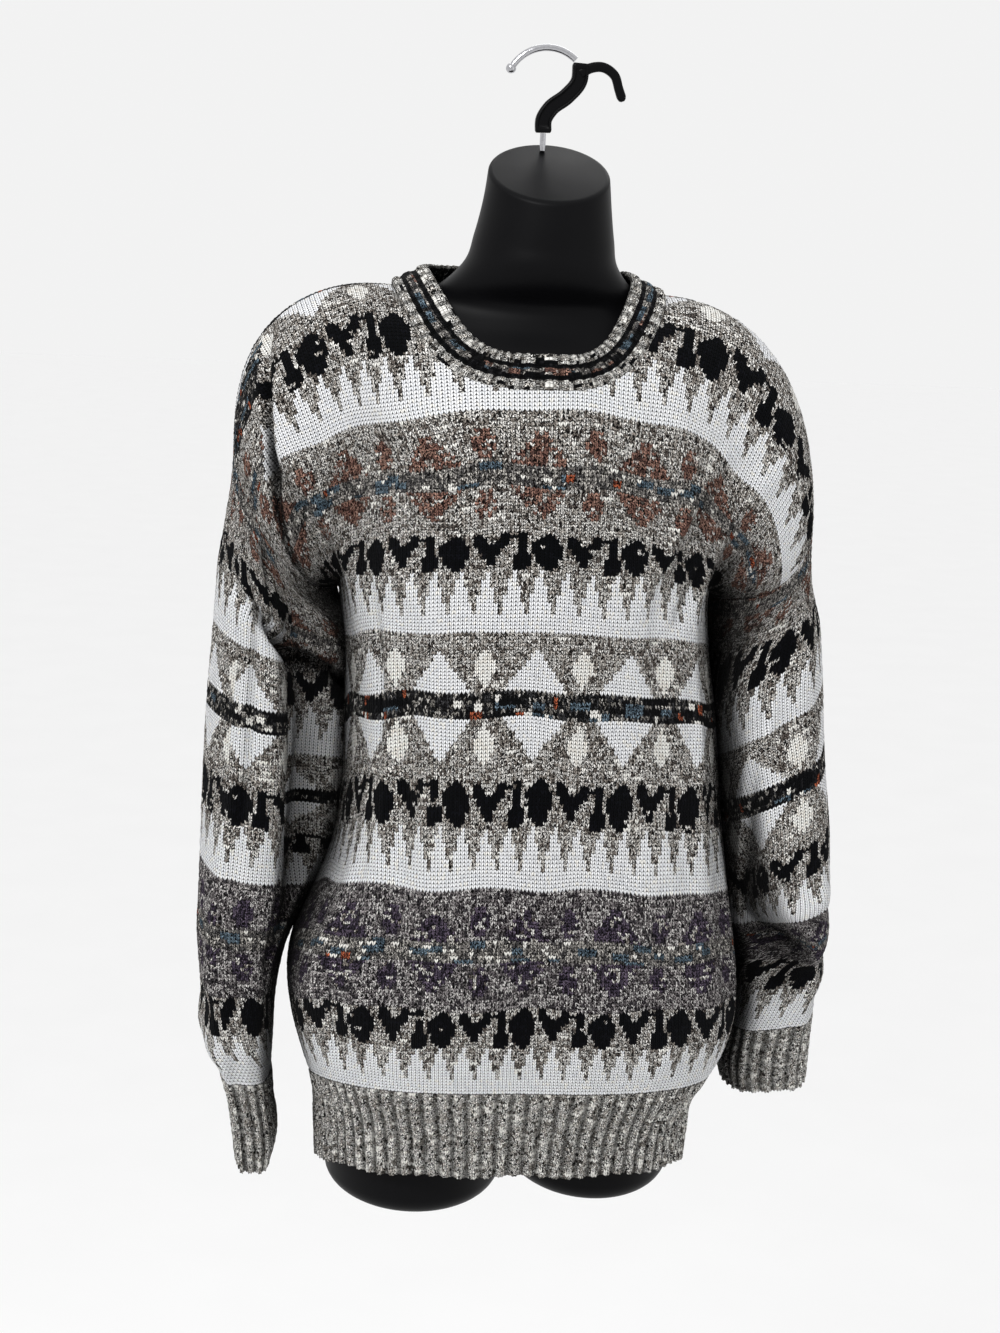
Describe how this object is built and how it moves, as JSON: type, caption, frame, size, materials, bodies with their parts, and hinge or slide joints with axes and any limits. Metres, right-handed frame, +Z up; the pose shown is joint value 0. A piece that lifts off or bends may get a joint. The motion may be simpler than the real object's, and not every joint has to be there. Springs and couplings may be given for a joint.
{
  "type": "fair isle sweater on hanging torso form with hook",
  "caption": "Crew-neck fair isle pullover with ribbed cuffs and hem, worn by a smooth limbless hanging torso form with a chrome and plastic hook.",
  "frame": {"origin": "lowest point of the inner side of the chrome hook's crown, where it rests on a peg", "axes": "+Z up, -Y towards the front of the sweater, +X towards the wearer's left, the picture's right"},
  "size_m": [0.5093, 0.2664, 0.8945],
  "materials": {
    "knit": "soft patterned knit",
    "rib": "soft marl rib",
    "band": "soft dark marl rib",
    "form": "semi-gloss moulded",
    "grip": "semi-gloss moulded",
    "wire": "polished"
  },
  "bodies": {
    "root": {"front": "knit", "back": "knit", "sleeve_right": "knit", "sleeve_left": "knit", "hem_rib_front": "rib", "hem_rib_back": "rib", "cuff_right": "rib", "cuff_left": "rib", "neckband": "band", "torso_form": "form", "hook_grip": "grip", "hook_wire": "wire", "hook_rod": "wire"}
  },
  "joints": []
}
